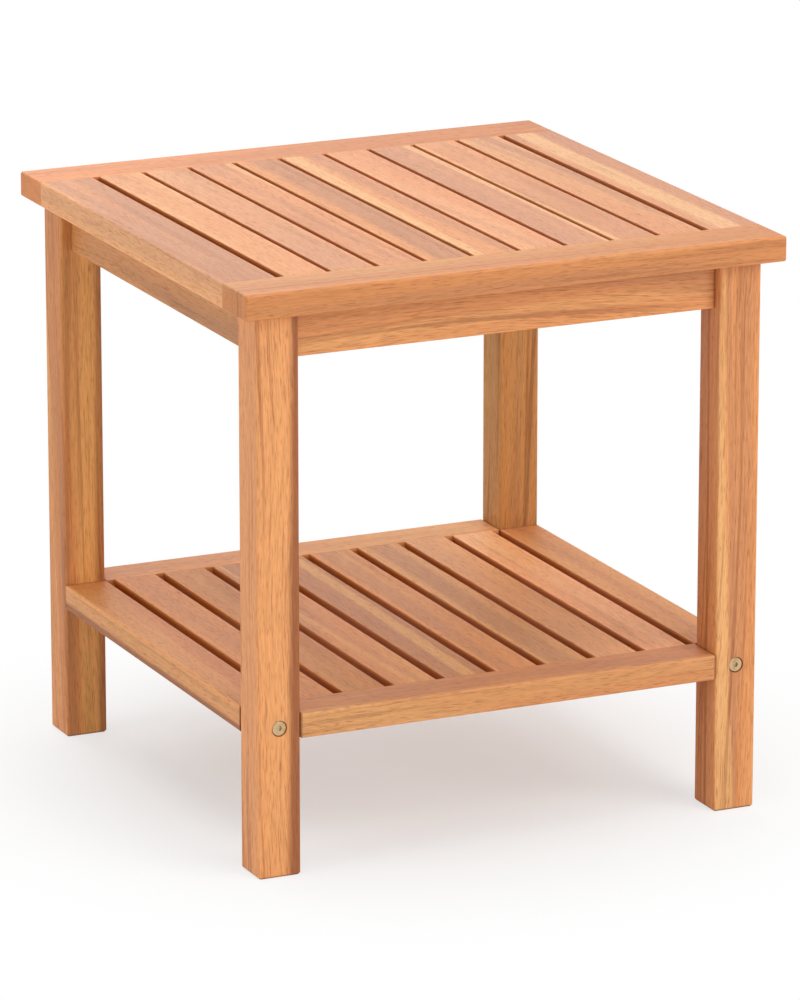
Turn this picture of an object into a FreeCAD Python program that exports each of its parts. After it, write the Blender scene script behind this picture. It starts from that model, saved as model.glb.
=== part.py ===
import FreeCAD, Part
import math
import os

import Sketcher

# Slatted side table with a low shelf, in solid wood.
# Frame: +X right along the front, +Y to the back, +Z up, origin on the floor under the centre.

Vector = FreeCAD.Vector
Rotation = FreeCAD.Rotation
Placement = FreeCAD.Placement

LEFT, RIGHT = -1, 1
FRONT, BACK = -1, 1
SIDE_NAMES = {LEFT: "left", RIGHT: "right"}
END_NAMES = {FRONT: "front", BACK: "back"}
UP = Vector(0, 0, 1)
TOUCH = 1e-4
COUNTERSINK_ANGLE = 90

# Driving sizes, in millimetres, and the two slat counts.
SIZES = {
    "table_width": 450.0,
    "table_depth": 450.0,
    "table_height": 460.0,
    "top_thickness": 20.0,
    "top_frame_width": 44.0,
    "top_overhang": 14.0,
    "top_edge_radius": 2.0,
    "top_slat_count": 9,
    "top_slat_gap": 4.25,
    "top_side_gap": 6.5,
    "leg_width": 35.0,
    "leg_edge_radius": 3.0,
    "foot_chamfer": 1.5,
    "slat_thickness": 15.0,
    "slat_edge_radius": 0.8,
    "seam_chamfer": 0.3,
    "shelf_height": 128.0,
    "shelf_thickness": 20.0,
    "shelf_slat_count": 8,
    "shelf_slat_gap": 8.0,
    "shelf_edge_radius": 1.5,
    "apron_height": 37.0,
    "apron_thickness": 16.0,
    "apron_edge_radius": 1.2,
    "tenon_length": 12.0,
    "tenon_thickness": 6.0,
    "tenon_shoulder": 5.0,
    "fit_clearance": 0.1,
    "batten_width": 30.0,
    "batten_thickness": 15.0,
    "batten_edge_radius": 1.0,
    "shelf_batten_inset": 26.0,
    "shelf_batten_lap": 18.0,
    "top_batten_end_gap": 1.0,
    "block_height": 30.0,
    "block_thickness": 20.0,
    "block_leg_gap": 4.0,
    "bolt_diameter": 6.0,
    "bolt_head_diameter": 11.4,
    "bolt_head_height": 3.0,
    "bolt_head_recess": 0.7,
    "bolt_head_edge": 0.5,
    "bolt_socket_width": 4.0,
    "bolt_socket_depth": 2.0,
    "bolt_counterbore_diameter": 12.6,
    "bolt_tail": 8.0,
    "barrel_nut_diameter": 10.0,
    "barrel_nut_length": 13.0,
    "barrel_nut_setback": 30.0,
    "barrel_nut_slot": 1.5,
    "dowel_diameter": 6.0,
    "dowel_reach": 14.0,
    "dowel_offset": 10.5,
    "dowel_chamfer": 0.8,
    "hanger_diameter": 6.0,
    "hanger_reach": 28.0,
    "hanger_tail": 4.0,
    "hanger_chamfer": 1.0,
    "washer_diameter": 18.0,
    "washer_thickness": 1.5,
    "nut_width": 10.0,
    "nut_height": 5.0,
    "screw_tip": 3.0,
    "screw_cross_width": 1.0,
    "screw_cross_depth": 1.0,
    "screw_cross_span": 3.6,
    "screw_head_height": 2.4,
    "batten_screw_diameter": 3.5,
    "batten_screw_head": 7.0,
    "batten_screw_length": 24.0,
    "block_screw_diameter": 4.0,
    "block_screw_head": 8.0,
    "block_screw_bite": 11.0,
    "block_screw_seat": 8.0,
    "block_screw_spacing": 14.0,
    "top_screw_diameter": 4.5,
    "top_screw_head": 9.0,
    "top_screw_bite": 14.0,
    "top_screw_seat": 25.0,
    "top_screw_inset": 75.0,
}

# Lengths and places worked out from the driving sizes. A bare name is another line of this list.
LAYOUT = {
    "leg_height": "Sizes.table_height - Sizes.top_thickness",
    "leg_x": "Sizes.table_width / 2 - Sizes.top_overhang - Sizes.leg_width / 2",
    "leg_y": "Sizes.table_depth / 2 - Sizes.top_overhang - Sizes.leg_width / 2",
    "bay_width": "2 * leg_x - Sizes.leg_width",
    "bay_depth": "2 * leg_y - Sizes.leg_width",
    # tabletop
    "top_inner_width": "Sizes.table_width - 2 * Sizes.top_frame_width",
    "top_inner_depth": "Sizes.table_depth - 2 * Sizes.top_frame_width",
    "top_slat_row": "top_inner_width - 2 * Sizes.top_side_gap",
    "top_slat_pitch": "(top_slat_row + Sizes.top_slat_gap) / Sizes.top_slat_count",
    "top_slat_width": "top_slat_pitch - Sizes.top_slat_gap",
    "top_slat_span": "top_slat_row - top_slat_width",
    "top_slat_base": "Sizes.table_height - Sizes.slat_thickness",
    "top_side_x": "(Sizes.table_width - Sizes.top_frame_width) / 2",
    "top_batten_base": "top_slat_base - Sizes.batten_thickness",
    "top_batten_length": "top_inner_width - 2 * Sizes.top_batten_end_gap",
    "top_screw_x": "bay_width / 2 - Sizes.top_screw_inset",
    "top_screw_y": "bay_depth / 2 - Sizes.top_screw_inset",
    # shelf
    "shelf_base": "Sizes.shelf_height - Sizes.shelf_thickness",
    "shelf_middle": "Sizes.shelf_height - Sizes.shelf_thickness / 2",
    "shelf_slat_row": "bay_width - 2 * Sizes.shelf_slat_gap",
    "shelf_slat_pitch": "(shelf_slat_row + Sizes.shelf_slat_gap) / Sizes.shelf_slat_count",
    "shelf_slat_width": "shelf_slat_pitch - Sizes.shelf_slat_gap",
    "shelf_slat_span": "shelf_slat_row - shelf_slat_width",
    "shelf_slat_base": "Sizes.shelf_height - Sizes.slat_thickness",
    "shelf_batten_y": "bay_depth / 2 - Sizes.shelf_batten_inset - Sizes.batten_width / 2",
    "shelf_batten_base": "shelf_slat_base - Sizes.batten_thickness",
    "shelf_batten_length": "bay_width + 2 * Sizes.shelf_batten_lap",
    "shelf_side_screw_x": "(bay_width + Sizes.shelf_batten_lap) / 2",
    "side_slat_drop": "Sizes.shelf_thickness - Sizes.slat_thickness",
    # aprons and corner blocks
    "apron_base": "leg_height - Sizes.apron_height",
    "apron_inner_x": "leg_x - Sizes.apron_thickness / 2",
    "apron_inner_y": "leg_y - Sizes.apron_thickness / 2",
    "block_base": "leg_height - Sizes.block_height",
    "block_middle": "leg_height - Sizes.block_height / 2",
    "leg_corner": "(Sizes.leg_width - Sizes.apron_thickness) / 2",
    "block_near": "2 * leg_corner + Sizes.block_leg_gap * sqrt(2)",
    "block_far": "block_near + Sizes.block_thickness * sqrt(2)",
    "block_screw_reach": "(block_near + block_far) / 2",
    "block_screw_length": "Sizes.block_screw_seat + Sizes.block_screw_bite",
    # shelf bolts and their barrel nuts, in line with the leg centres
    "bolt_seat_depth": "Sizes.bolt_head_height + Sizes.bolt_head_recess",
    "bolt_seat_y": "leg_y + Sizes.leg_width / 2 - bolt_seat_depth",
    "barrel_nut_y": "bay_depth / 2 - Sizes.barrel_nut_setback",
    "bolt_length": "bolt_seat_y - barrel_nut_y + Sizes.bolt_tail",
    "bolt_bore": "Sizes.barrel_nut_setback + Sizes.bolt_tail + Sizes.fit_clearance",
    "barrel_nut_rise": "(Sizes.shelf_thickness + Sizes.barrel_nut_length) / 2",
    # hanger bolts, along the diagonal through each corner block
    "hanger_seat": "Sizes.block_leg_gap + Sizes.block_thickness",
    "hanger_length": "Sizes.hanger_reach + hanger_seat + Sizes.washer_thickness"
                     " + Sizes.nut_height + Sizes.hanger_tail",
    # screws up through the aprons into the top
    "top_screw_length": "Sizes.top_screw_seat + Sizes.top_screw_bite",
    "top_screw_rise": "Sizes.apron_height - Sizes.top_screw_seat",
}


# ---------------------------------------------------------------- helpers

def make_sheet(doc, name, cells):
    """Spreadsheet with an alias for each named cell."""
    sheet = doc.addObject("Spreadsheet::Sheet", name)
    for row, (alias, content) in enumerate(cells.items(), start=1):
        sheet.set(f"A{row}", alias)
        sheet.set(f"B{row}", content)
        sheet.setAlias(f"B{row}", alias)
    return sheet


def bind(thing, **formulas):
    """Bind properties to formulas; a double underscore in a name stands for a dot."""
    for path, formula in formulas.items():
        thing.setExpression(path.replace("__", "."), formula)


def bind_place(thing, x, y, z):
    bind(thing, Placement__Base__x=x, Placement__Base__y=y, Placement__Base__z=z)


def negative(formula):
    return f"-({formula})"


def plus(*formulas):
    return " + ".join(f"({formula})" for formula in formulas)


def half(formula):
    return f"({formula}) / 2"


def eased(size):
    """Width or depth of the hole that takes a piece of the given size."""
    return f"{size} + 2 * Sizes.fit_clearance"


def new_body(doc, label, turn=0):
    body = doc.addObject("PartDesign::Body", label)
    body.Placement = Placement(Vector(), Rotation(UP, turn))
    return body


def new_sketch(body, plane, lift="0"):
    """Sketch on one of the body's origin planes, lifted along that plane's normal."""
    sketch = body.newObject("Sketcher::SketchObject", f"{body.Name}_sketch")
    origin_plane = next(item for item in body.Origin.OriginFeatures if item.Role == plane)
    sketch.AttachmentSupport = [(origin_plane, "")]
    sketch.MapMode = "FlatFace"
    bind(sketch, AttachmentOffset__Base__z=lift)
    return sketch


def pin(sketch, geometry, point, start, x, y):
    """Hold a point of the sketch at x, y from its origin."""
    for kind, value, formula in (("DistanceX", start.x, x), ("DistanceY", start.y, y)):
        index = sketch.addConstraint(Sketcher.Constraint(kind, -1, 1, geometry, point, value))
        sketch.renameConstraint(index, f"{kind}_{index}")
        sketch.setExpression(f"Constraints.{kind}_{index}", formula)


def outline(sketch, corners):
    """Closed polygon with each corner pinned to its pair of formulas."""
    first = sketch.GeometryCount
    count = len(corners)
    turns = [2 * math.pi * number / count for number in range(count)]
    starts = [Vector(math.cos(turn), math.sin(turn), 0) for turn in turns]
    for number, start in enumerate(starts):
        sketch.addGeometry(Part.LineSegment(start, starts[(number + 1) % count]))
    for number in range(count):
        following = first + (number + 1) % count
        sketch.addConstraint(Sketcher.Constraint("Coincident", first + number, 2, following, 1))
    for number, (x, y) in enumerate(corners):
        pin(sketch, first + number, 1, starts[number], x, y)


def rectangle(sketch, x_low, y_low, x_high, y_high):
    outline(sketch, [(x_low, y_low), (x_high, y_low), (x_high, y_high), (x_low, y_high)])


def centred_rectangle(sketch, width, height, x="0", y="0"):
    rectangle(sketch, plus(x, negative(half(width))), plus(y, negative(half(height))),
              plus(x, half(width)), plus(y, half(height)))


def circle(sketch, diameter, x="0", y="0"):
    start = Vector(1, 1, 0)
    geometry = sketch.addGeometry(Part.Circle(start, UP, 1))
    pin(sketch, geometry, 3, start, x, y)
    index = sketch.addConstraint(Sketcher.Constraint("Diameter", geometry, 2))
    sketch.renameConstraint(index, f"Diameter_{index}")
    sketch.setExpression(f"Constraints.Diameter_{index}", diameter)


def hexagon(sketch, width):
    """Hexagon across flats, centred on the sketch's origin."""
    corners = []
    for number in range(6):
        angle = math.pi / 3 * number
        reach = f"{width} / sqrt(3)"
        corners.append((f"{math.cos(angle):.9f} * {reach}", f"{math.sin(angle):.9f} * {reach}"))
    outline(sketch, corners)


def cross(sketch, span, width):
    """Plus-shaped recess, centred on the sketch's origin."""
    arm, side = half(span), half(width)
    quarter = [(arm, side), (side, side), (side, arm)]
    corners = []
    for _ in range(4):
        corners.extend(quarter)
        quarter = [(negative(y), x) for x, y in quarter]
    outline(sketch, corners)


def pad(body, sketch, length, both_ways=False):
    feature = body.newObject("PartDesign::Pad", f"{body.Name}_pad")
    feature.Profile = sketch
    feature.SideType = "Symmetric" if both_ways else "One side"
    bind(feature, Length=length)


def cut(body, sketch, depth=None, along_normal=False):
    """Pocket to a depth against the sketch's normal, or along it, or right through both ways."""
    feature = body.newObject("PartDesign::Pocket", f"{body.Name}_pocket")
    feature.Profile = sketch
    if depth is None:
        feature.Type = "ThroughAll"
        feature.SideType = "Symmetric"
    else:
        feature.Reversed = along_normal
        bind(feature, Length=depth)
    return feature


def cut_through(body, sketch, along_normal):
    """Pocket from the sketch outwards, through everything on that side."""
    feature = body.newObject("PartDesign::Pocket", f"{body.Name}_pocket")
    feature.Profile = sketch
    feature.Type = "ThroughAll"
    feature.Reversed = along_normal


def repeat(body, feature, sketch, axis, span, count):
    """Row of copies of a feature, from its own place over the given span."""
    pattern = body.newObject("PartDesign::LinearPattern", f"{body.Name}_row")
    pattern.Originals = [feature]
    pattern.Direction = (sketch, [axis])
    bind(pattern, Length=span, Occurrences=count)
    body.Tip = pattern


def mirror(body, features, plane):
    mirrored = body.newObject("PartDesign::Mirrored", f"{body.Name}_mirror")
    mirrored.Originals = features
    origin_plane = next(item for item in body.Origin.OriginFeatures if item.Role == plane)
    mirrored.MirrorPlane = (origin_plane, [""])
    body.Tip = mirrored


def edges_on(shape, sides):
    """Names of the edges that lie on every given side of the shape's box, such as 'x-' and 'z+'."""
    box = shape.BoundBox
    limits = {"x-": box.XMin, "x+": box.XMax, "y-": box.YMin, "y+": box.YMax,
              "z-": box.ZMin, "z+": box.ZMax}
    names = []
    for number, edge in enumerate(shape.Edges, start=1):
        span = edge.BoundBox
        ends = {"x": (span.XMin, span.XMax), "y": (span.YMin, span.YMax),
                "z": (span.ZMin, span.ZMax)}
        if all(abs(end - limits[side]) < TOUCH for side in sides for end in ends[side[0]]):
            names.append(f"Edge{number}")
    return names


def soften(body, kind, size, groups):
    """Fillet or chamfer the edges that each group of box sides picks out."""
    body.Document.recompute()
    base = body.Tip
    names = []
    for sides in groups:
        names.extend(name for name in edges_on(base.Shape, sides) if name not in names)
    if not names:
        raise RuntimeError(f"{body.Label} has no edges on {groups}")
    feature = body.newObject(f"PartDesign::{kind}", f"{body.Name}_{kind.lower()}")
    feature.Base = (base, names)
    bind(feature, **{"Radius" if kind == "Fillet" else "Size": size})


def bore_cylinder(body, diameter, length, start, direction):
    """Round hole from a start point, given as three formulas, in any direction."""
    feature = body.newObject("PartDesign::SubtractiveCylinder", f"{body.Name}_bore")
    feature.Placement = Placement(Vector(), Rotation(UP, direction))
    bind(feature, Radius=half(diameter), Height=length)
    bind_place(feature, *start)


# ---------------------------------------------------------------- legs and aprons

def make_leg(doc, side, end):
    """Square leg. Local frame: its centre line on the floor."""
    body = new_body(doc, f"leg_{END_NAMES[end]}_{SIDE_NAMES[side]}")
    width = "Sizes.leg_width"
    square = new_sketch(body, "XY_Plane")
    centred_rectangle(square, width, width)
    pad(body, square, "Layout.leg_height")
    soften(body, "Fillet", "Sizes.leg_edge_radius",
           [("x-", "y-"), ("x-", "y+"), ("x+", "y-"), ("x+", "y+")])
    soften(body, "Chamfer", "Sizes.foot_chamfer", [("z-",)])

    # shelf bolt, in from the outer face, and the dowel beside it, in from the inner face
    outer = f"{-end} * {width} / 2"
    inner = f"{end} * {width} / 2"
    bolt_hole = new_sketch(body, "XZ_Plane")
    circle(bolt_hole, eased("Sizes.bolt_diameter"), y="Layout.shelf_middle")
    cut(body, bolt_hole)
    head_hole = new_sketch(body, "XZ_Plane", lift=outer)
    circle(head_hole, "Sizes.bolt_counterbore_diameter", y="Layout.shelf_middle")
    cut(body, head_hole, "Layout.bolt_seat_depth", along_normal=end == BACK)
    dowel_hole = new_sketch(body, "XZ_Plane", lift=inner)
    circle(dowel_hole, eased("Sizes.dowel_diameter"), x=f"{-side} * Sizes.dowel_offset",
           y="Layout.shelf_middle")
    cut(body, dowel_hole, eased("Sizes.dowel_reach"), along_normal=end == FRONT)

    # hanger bolt, in from the inner corner along the diagonal
    corner = (f"{-side} * {width} / 2", f"{-end} * {width} / 2", "Layout.block_middle")
    bore_cylinder(body, eased("Sizes.hanger_diameter"), eased("Sizes.hanger_reach"), corner,
                  Vector(side, end, 0))
    bind_place(body, f"{side} * Layout.leg_x", f"{end} * Layout.leg_y", "0")
    return body


def make_apron(doc, name, turn, length, screw_x, block_screw_x, place):
    """Apron. Local frame: bottom middle, length along X, inner face towards +Y."""
    body = new_body(doc, name, turn)
    thickness, height = "Sizes.apron_thickness", "Sizes.apron_height"
    section = new_sketch(body, "XZ_Plane")
    rectangle(section, negative(half(length)), "0", half(length), height)
    pad(body, section, thickness, both_ways=True)
    soften(body, "Fillet", "Sizes.apron_edge_radius", [("y-", "z-"), ("y+", "z-")])

    # screws up into the top
    shanks = new_sketch(body, "XY_Plane")
    heads = new_sketch(body, "XY_Plane")
    for sign in (LEFT, RIGHT):
        circle(shanks, eased("Sizes.top_screw_diameter"), x=f"{sign} * {screw_x}")
        circle(heads, eased("Sizes.top_screw_head"), x=f"{sign} * {screw_x}")
    cut(body, shanks)
    cut(body, heads, "Layout.top_screw_rise", along_normal=True)

    # pilot holes for the corner block screws
    pilots = new_sketch(body, "XZ_Plane", lift=negative(half(thickness)))
    middle = f"{height} - Sizes.block_height / 2"
    for sign in (LEFT, RIGHT):
        for level in (-1, 1):
            circle(pilots, eased("Sizes.block_screw_diameter"), x=f"{sign} * {block_screw_x}",
                   y=f"{middle} + {level} * Sizes.block_screw_spacing / 2")
    cut(body, pilots, eased("Sizes.block_screw_bite"), along_normal=True)
    bind_place(body, *place)
    return body


def make_aprons(doc):
    front_x = "(Layout.apron_inner_x - Layout.block_screw_reach)"
    side_y = "(Layout.apron_inner_y - Layout.block_screw_reach)"
    base = "Layout.apron_base"
    return [
        make_apron(doc, "apron_front", 0, "Layout.bay_width", "Layout.top_screw_x", front_x,
                   ("0", "-Layout.leg_y", base)),
        make_apron(doc, "apron_back", 180, "Layout.bay_width", "Layout.top_screw_x", front_x,
                   ("0", "Layout.leg_y", base)),
        make_apron(doc, "apron_left", -90, "Layout.bay_depth", "Layout.top_screw_y", side_y,
                   ("-Layout.leg_x", "0", base)),
        make_apron(doc, "apron_right", 90, "Layout.bay_depth", "Layout.top_screw_y", side_y,
                   ("Layout.leg_x", "0", base)),
    ]


def make_corner_block(doc, side, end, turn):
    """Block across a corner. Local frame: where the inner faces of its two aprons would meet."""
    body = new_body(doc, f"corner_block_{END_NAMES[end]}_{SIDE_NAMES[side]}", turn)
    near, far = "Layout.block_near", "Layout.block_far"
    shape = new_sketch(body, "XY_Plane")
    outline(shape, [(near, "0"), (far, "0"), ("0", far), ("0", near)])
    pad(body, shape, "Sizes.block_height")
    bore_cylinder(body, eased("Sizes.hanger_diameter"), far, ("0", "0", half("Sizes.block_height")),
                  Vector(1, 1, 0))

    # screws into both aprons, each seated in a counterbore from the slanting face
    reach, seat = "Layout.block_screw_reach", "Sizes.block_screw_seat"
    for plane, flip, lift in (("XZ_Plane", False, negative(seat)), ("YZ_Plane", True, seat)):
        shanks = new_sketch(body, plane)
        heads = new_sketch(body, plane, lift=lift)
        for level in (-1, 1):
            height = f"(Sizes.block_height + {level} * Sizes.block_screw_spacing) / 2"
            circle(shanks, eased("Sizes.block_screw_diameter"), x=reach, y=height)
            circle(heads, eased("Sizes.block_screw_head"), x=reach, y=height)
        cut(body, shanks)
        cut_through(body, heads, along_normal=flip)
    bind_place(body, f"{side} * Layout.apron_inner_x", f"{end} * Layout.apron_inner_y",
               "Layout.block_base")
    return body


# ---------------------------------------------------------------- tabletop and shelf

def make_rail(doc, name, turn, length, width, thickness, radius, slat_width, span, count, place):
    """End rail with a mortise for each inner slat.

    Local frame: middle of the inner edge at the underside, length along X, outer edge towards -Y.
    """
    body = new_body(doc, name, turn)
    plan = new_sketch(body, "XY_Plane")
    rectangle(plan, negative(half(length)), negative(width), half(length), "0")
    pad(body, plan, thickness)
    ends = [("x-", "z+"), ("x-", "z-"), ("x+", "z+"), ("x+", "z-")]
    soften(body, "Fillet", radius, [("y-",), *ends])
    soften(body, "Chamfer", "Sizes.seam_chamfer", [("y+", "z+")])

    mortise = new_sketch(body, "XZ_Plane")
    centred_rectangle(mortise, eased(f"{slat_width} - 2 * Sizes.tenon_shoulder"),
                      eased("Sizes.tenon_thickness"), x=negative(half(span)),
                      y=f"{thickness} - Sizes.slat_thickness / 2")
    first = cut(body, mortise, eased("Sizes.tenon_length"), along_normal=True)
    repeat(body, first, mortise, "H_Axis", span, count)
    bind_place(body, *place)
    return body


def make_top_rail(doc, end):
    body = make_rail(doc, f"top_rail_{END_NAMES[end]}", 0 if end == FRONT else 180,
                     "Sizes.table_width", "Sizes.top_frame_width", "Sizes.top_thickness",
                     "Sizes.top_edge_radius", "Layout.top_slat_width", "Layout.top_slat_span",
                     "Sizes.top_slat_count",
                     ("0", f"{end} * Layout.top_inner_depth / 2", "Layout.leg_height"))
    # mortises for the side slats and pilot holes for the screws up from the apron
    side_mortises = new_sketch(body, "XZ_Plane")
    pilots = new_sketch(body, "XY_Plane")
    for sign in (LEFT, RIGHT):
        centred_rectangle(side_mortises, eased("Sizes.top_frame_width - 2 * Sizes.tenon_shoulder"),
                          eased("Sizes.tenon_thickness"), x=f"{sign} * Layout.top_side_x",
                          y=half("Sizes.top_thickness"))
        circle(pilots, eased("Sizes.top_screw_diameter"), x=f"{sign} * Layout.top_screw_x",
               y="Layout.top_inner_depth / 2 - Layout.leg_y")
    cut(body, side_mortises, eased("Sizes.tenon_length"), along_normal=True)
    cut(body, pilots, eased("Sizes.top_screw_bite"), along_normal=True)
    return body


def make_shelf_rail(doc, end):
    return make_rail(doc, f"shelf_rail_{END_NAMES[end]}", 0 if end == FRONT else 180,
                     "Layout.bay_width", "Sizes.leg_width", "Sizes.shelf_thickness",
                     "Sizes.shelf_edge_radius", "Layout.shelf_slat_width",
                     "Layout.shelf_slat_span", "Sizes.shelf_slat_count",
                     ("0", f"{end} * Layout.bay_depth / 2", "Layout.shelf_base"))


def make_slat(doc, name, turn, width, length, thickness, outer_radius, screw_places, bite, place):
    """Slat with a tenon at each end and blind screw holes underneath.

    Local frame: middle of its underside, length along Y, outer long edge towards -X.
    """
    body = new_body(doc, name, turn)
    section = new_sketch(body, "XZ_Plane")
    rectangle(section, negative(half(width)), "0", half(width), thickness)
    pad(body, section, length, both_ways=True)
    soften(body, "Fillet", outer_radius, [("x-", "z+"), ("x-", "z-")])
    soften(body, "Fillet", "Sizes.slat_edge_radius", [("x+", "z+"), ("x+", "z-")])
    soften(body, "Chamfer", "Sizes.seam_chamfer", [("y-", "z+"), ("y+", "z+")])

    tenon = new_sketch(body, "XZ_Plane")
    centred_rectangle(tenon, f"{width} - 2 * Sizes.tenon_shoulder", "Sizes.tenon_thickness",
                      y=half(thickness))
    pad(body, tenon, f"{length} + 2 * Sizes.tenon_length", both_ways=True)

    holes = new_sketch(body, "XY_Plane")
    for diameter, x, y in screw_places:
        circle(holes, eased(diameter), x=x, y=y)
    cut(body, holes, bite, along_normal=True)
    bind_place(body, *place)
    return body


def make_top_side_slat(doc, side):
    inward = "Layout.top_side_x - Layout.leg_x"
    screws = [("Sizes.top_screw_diameter", inward, f"{sign} * Layout.top_screw_y")
              for sign in (FRONT, BACK)]
    return make_slat(doc, f"top_side_slat_{SIDE_NAMES[side]}", 0 if side == LEFT else 180,
                     "Sizes.top_frame_width", "Layout.top_inner_depth", "Sizes.top_thickness",
                     "Sizes.top_edge_radius", screws, eased("Sizes.top_screw_bite"),
                     (f"{side} * Layout.top_side_x", "0", "Layout.leg_height"))


def make_top_slats(doc, count):
    screws = [("Sizes.batten_screw_diameter", "0", "0")]
    bite = eased("Sizes.batten_screw_length - Sizes.batten_thickness")
    return [make_slat(doc, f"top_slat_{number + 1}", 0, "Layout.top_slat_width",
                      "Layout.top_inner_depth", "Sizes.slat_thickness", "Sizes.slat_edge_radius",
                      screws, bite,
                      (f"{number} * Layout.top_slat_pitch - Layout.top_slat_span / 2", "0",
                       "Layout.top_slat_base"))
            for number in range(count)]


def make_shelf_slats(doc, count):
    screws = [("Sizes.batten_screw_diameter", "0", f"{sign} * Layout.shelf_batten_y")
              for sign in (FRONT, BACK)]
    bite = eased("Sizes.batten_screw_length - Sizes.batten_thickness")
    return [make_slat(doc, f"shelf_slat_{number + 1}", 0, "Layout.shelf_slat_width",
                      "Layout.bay_depth", "Sizes.slat_thickness", "Sizes.slat_edge_radius",
                      screws, bite,
                      (f"{number} * Layout.shelf_slat_pitch - Layout.shelf_slat_span / 2", "0",
                       "Layout.shelf_slat_base"))
            for number in range(count)]


def make_shelf_side_slat(doc, side):
    """Side slat of the shelf, bolted between two legs.

    Local frame: middle of its underside, length along Y, outer long edge towards -X.
    """
    body = new_body(doc, f"shelf_side_slat_{SIDE_NAMES[side]}", 0 if side == LEFT else 180)
    width, thickness = "Sizes.leg_width", "Sizes.shelf_thickness"
    section = new_sketch(body, "XZ_Plane")
    rectangle(section, negative(half(width)), "0", half(width), thickness)
    pad(body, section, "Layout.bay_depth", both_ways=True)
    soften(body, "Fillet", "Sizes.shelf_edge_radius", [("x-", "z+"), ("x-", "z-")])
    soften(body, "Fillet", "Sizes.slat_edge_radius", [("x+", "z+"), ("x+", "z-")])

    # at the front end: bolt bore, dowel hole and barrel nut hole; then the same at the back end
    end_face = half("Layout.bay_depth")
    bolt_bore = new_sketch(body, "XZ_Plane", lift=end_face)
    circle(bolt_bore, eased("Sizes.bolt_diameter"), y=half(thickness))
    bolt_cut = cut(body, bolt_bore, "Layout.bolt_bore")
    dowel_bore = new_sketch(body, "XZ_Plane", lift=end_face)
    circle(dowel_bore, eased("Sizes.dowel_diameter"), x="Sizes.dowel_offset", y=half(thickness))
    dowel_cut = cut(body, dowel_bore, eased("Sizes.dowel_reach"))
    nut_bore = new_sketch(body, "XY_Plane")
    circle(nut_bore, eased("Sizes.barrel_nut_diameter"), y="-Layout.barrel_nut_y")
    nut_cut = cut(body, nut_bore, eased("Layout.barrel_nut_rise"), along_normal=True)
    mirror(body, [bolt_cut, dowel_cut, nut_cut], "XZ_Plane")

    pilots = new_sketch(body, "XY_Plane")
    for sign in (FRONT, BACK):
        circle(pilots, eased("Sizes.batten_screw_diameter"),
               x="Layout.leg_x - Layout.shelf_side_screw_x", y=f"{sign} * Layout.shelf_batten_y")
    cut(body, pilots, eased("Sizes.batten_screw_length - Sizes.batten_thickness"
                           " + Layout.side_slat_drop"), along_normal=True)
    bind_place(body, f"{side} * Layout.leg_x", "0", "Layout.shelf_base")
    return body


def make_batten(doc, name, length, screw_columns, place):
    """Cross batten with countersunk screw holes. Local frame: middle of its underside."""
    body = new_body(doc, name)
    plan = new_sketch(body, "XY_Plane")
    centred_rectangle(plan, length, "Sizes.batten_width")
    pad(body, plan, "Sizes.batten_thickness")
    soften(body, "Fillet", "Sizes.batten_edge_radius", [("y-", "z-"), ("y+", "z-")])
    screws = new_sketch(body, "XY_Plane")
    for x in screw_columns:
        circle(screws, eased("Sizes.batten_screw_diameter"), x=x)
    doc.recompute()
    holes = body.newObject("PartDesign::Hole", f"{name}_holes")
    holes.Profile = screws
    doc.recompute()
    holes.ThreadType = "None"
    holes.DepthType = "ThroughAll"
    holes.HoleCutType = "Countersink"
    holes.HoleCutCustomValues = True
    holes.HoleCutCountersinkAngle = COUNTERSINK_ANGLE
    holes.Reversed = True
    bind(holes, Diameter=eased("Sizes.batten_screw_diameter"),
         HoleCutDiameter=eased("Sizes.batten_screw_head"))
    bind_place(body, *place)
    return body


def slat_columns(name, count):
    """Formulas for the X of each slat's centre line in the named row."""
    return [f"{number} * Layout.{name}_slat_pitch - Layout.{name}_slat_span / 2"
            for number in range(count)]


def make_top_batten(doc, count):
    return make_batten(doc, "top_batten", "Layout.top_batten_length", slat_columns("top", count),
                       ("0", "0", "Layout.top_batten_base"))


def make_shelf_batten(doc, end, count):
    """Shelf batten, stepped down at each end to pass under the thicker side slats."""
    columns = slat_columns("shelf", count)
    columns += ["-Layout.shelf_side_screw_x", "Layout.shelf_side_screw_x"]
    body = make_batten(doc, f"shelf_batten_{END_NAMES[end]}", "Layout.shelf_batten_length", columns,
                       ("0", f"{end} * Layout.shelf_batten_y", "Layout.shelf_batten_base"))
    steps = new_sketch(body, "XZ_Plane")
    for sign in (LEFT, RIGHT):
        rectangle(steps, f"{sign} * (Layout.bay_width / 2 - Sizes.fit_clearance)",
                  "Sizes.batten_thickness - Layout.side_slat_drop",
                  f"{sign} * Layout.shelf_batten_length", "2 * Sizes.batten_thickness")
    cut(body, steps)
    return body


# ---------------------------------------------------------------- fastenings
# Each master lies along its own +Z, the direction it is driven in, with its seat at the origin.

def add_cylinder(body, diameter, length, start="0"):
    section = new_sketch(body, "XY_Plane", lift=start)
    circle(section, diameter)
    pad(body, section, length)


def make_cylinder(doc, name, diameter, length, start="0"):
    body = new_body(doc, name)
    add_cylinder(body, diameter, length, start)
    return body


def make_turned(doc, name, profile):
    """Body of revolution about Z from a profile of radius and height formulas."""
    body = new_body(doc, name)
    section = new_sketch(body, "XZ_Plane")
    outline(section, profile)
    turned = body.newObject("PartDesign::Revolution", f"{name}_turned")
    turned.Profile = section
    turned.ReferenceAxis = (section, ["V_Axis"])
    return body


def cut_cross(body, top):
    recess = new_sketch(body, "XY_Plane", lift=top)
    cross(recess, "Sizes.screw_cross_span", "Sizes.screw_cross_width")
    cut(body, recess, "Sizes.screw_cross_depth", along_normal=True)


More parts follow.
